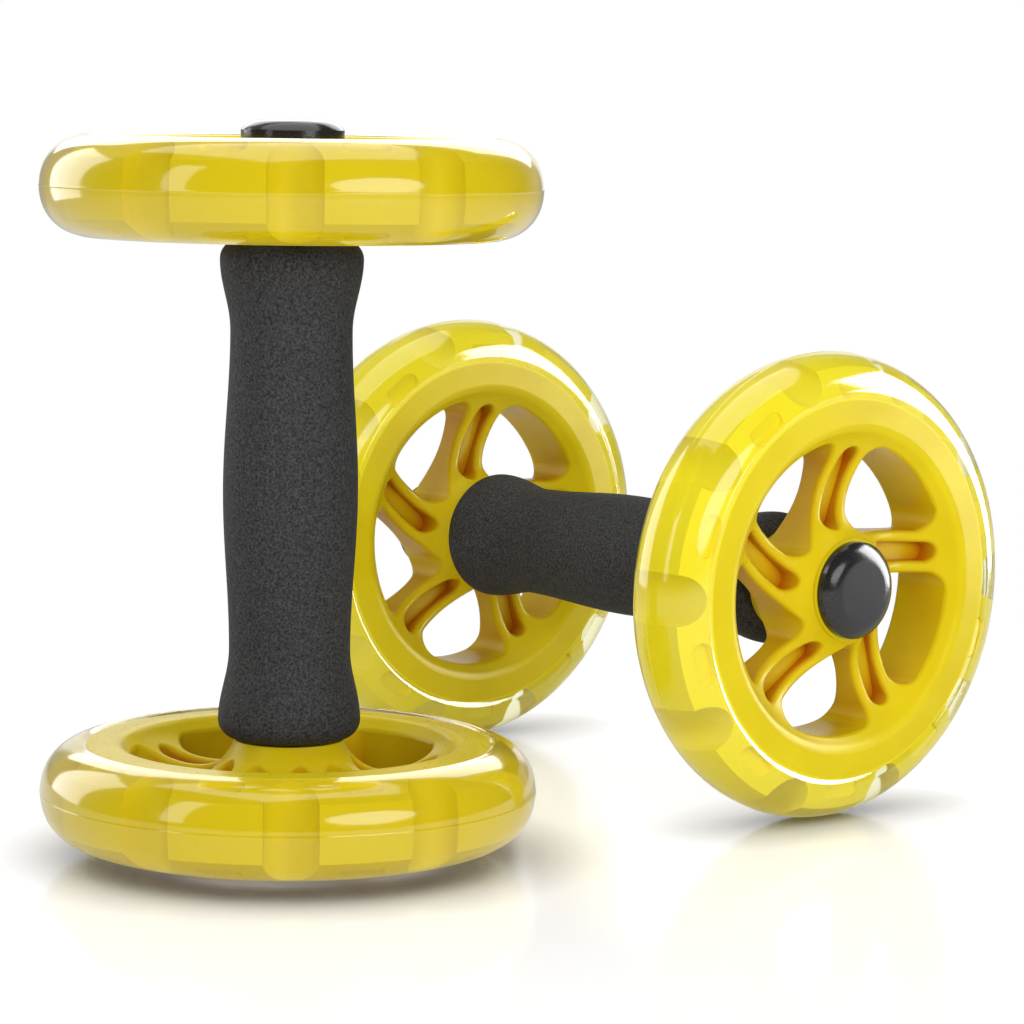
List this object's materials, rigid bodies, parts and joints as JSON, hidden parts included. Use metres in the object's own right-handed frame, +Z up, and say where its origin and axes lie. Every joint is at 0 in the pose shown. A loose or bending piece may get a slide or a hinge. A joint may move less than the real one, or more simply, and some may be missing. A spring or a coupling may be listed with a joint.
{
  "type": "ab wheel roller set",
  "caption": "Foam-gripped hand rollers with a spoked yellow wheel in a clear tyre at each end of the grip, rolled over the floor for core exercise; one stands upright, one lies.",
  "frame": {"origin": "centre of the flat land of the standing roller's lower end cap, on the floor", "axes": "+Z up along the standing roller's axle, +Y along the lying roller's axle away from the viewer, +X towards the lying roller"},
  "size_m": [0.321, 0.2222, 0.2215],
  "materials": {
    "core_plastic": "moulded yellow, gloss",
    "tyre_clear": "clear cast polyurethane, pale yellow tint",
    "grip_foam": "charcoal closed-cell foam, finely pebbled",
    "cap_plastic": "fine moulded texture",
    "collar_plastic": "moulded",
    "bush_nylon": "natural nylon",
    "washer_nylon": "black nylon",
    "washer_steel": "zinc plated",
    "nut_steel": "zinc plated",
    "axle_steel": "bright drawn rod",
    "tube_steel": "drawn tube"
  },
  "bodies": {
    "standing_handle": {"standing_grip": "grip_foam", "standing_handle_tube": "tube_steel", "standing_axle": "axle_steel", "standing_top_collar": "collar_plastic", "standing_top_thrust_washer": "washer_nylon", "standing_top_nut_washer": "washer_steel", "standing_top_lock_nut": "nut_steel", "standing_bottom_collar": "collar_plastic", "standing_bottom_thrust_washer": "washer_nylon", "standing_bottom_nut_washer": "washer_steel", "standing_bottom_lock_nut": "nut_steel"},
    "standing_top_wheel": {"standing_top_wheel_core": "core_plastic", "standing_top_tyre": "tyre_clear", "standing_top_inner_bush": "bush_nylon", "standing_top_outer_bush": "bush_nylon", "standing_top_end_cap": "cap_plastic"},
    "standing_bottom_wheel": {"standing_bottom_wheel_core": "core_plastic", "standing_bottom_tyre": "tyre_clear", "standing_bottom_inner_bush": "bush_nylon", "standing_bottom_outer_bush": "bush_nylon", "standing_bottom_end_cap": "cap_plastic"},
    "lying_handle": {"lying_grip": "grip_foam", "lying_handle_tube": "tube_steel", "lying_axle": "axle_steel", "lying_near_collar": "collar_plastic", "lying_near_thrust_washer": "washer_nylon", "lying_near_nut_washer": "washer_steel", "lying_near_lock_nut": "nut_steel", "lying_far_collar": "collar_plastic", "lying_far_thrust_washer": "washer_nylon", "lying_far_nut_washer": "washer_steel", "lying_far_lock_nut": "nut_steel"},
    "lying_near_wheel": {"lying_near_wheel_core": "core_plastic", "lying_near_tyre": "tyre_clear", "lying_near_inner_bush": "bush_nylon", "lying_near_outer_bush": "bush_nylon", "lying_near_end_cap": "cap_plastic"},
    "lying_far_wheel": {"lying_far_wheel_core": "core_plastic", "lying_far_tyre": "tyre_clear", "lying_far_inner_bush": "bush_nylon", "lying_far_outer_bush": "bush_nylon", "lying_far_end_cap": "cap_plastic"}
  },
  "joints": [
    {"name": "standing_top_spin", "type": "hinge", "parent": "standing_handle", "child": "standing_top_wheel", "pos_m": [0, 0, 0.2017], "axis": [0, 0, 1], "continuous": true},
    {"name": "standing_bottom_spin", "type": "hinge", "parent": "standing_handle", "child": "standing_bottom_wheel", "pos_m": [0, 0, 0.0198], "axis": [0, 0, 1], "continuous": true},
    {"name": "lying_roller_lift", "type": "slide", "parent": "standing_handle", "child": "lying_handle", "axis": [0, 0, 1], "range_m": [0, 0.25]},
    {"name": "lying_near_spin", "type": "hinge", "parent": "lying_handle", "child": "lying_near_wheel", "pos_m": [0.171, -0.05445, 0.075], "axis": [0, 1, 0], "continuous": true},
    {"name": "lying_far_spin", "type": "hinge", "parent": "lying_handle", "child": "lying_far_wheel", "pos_m": [0.171, 0.12745, 0.075], "axis": [0, 1, 0], "continuous": true}
  ]
}
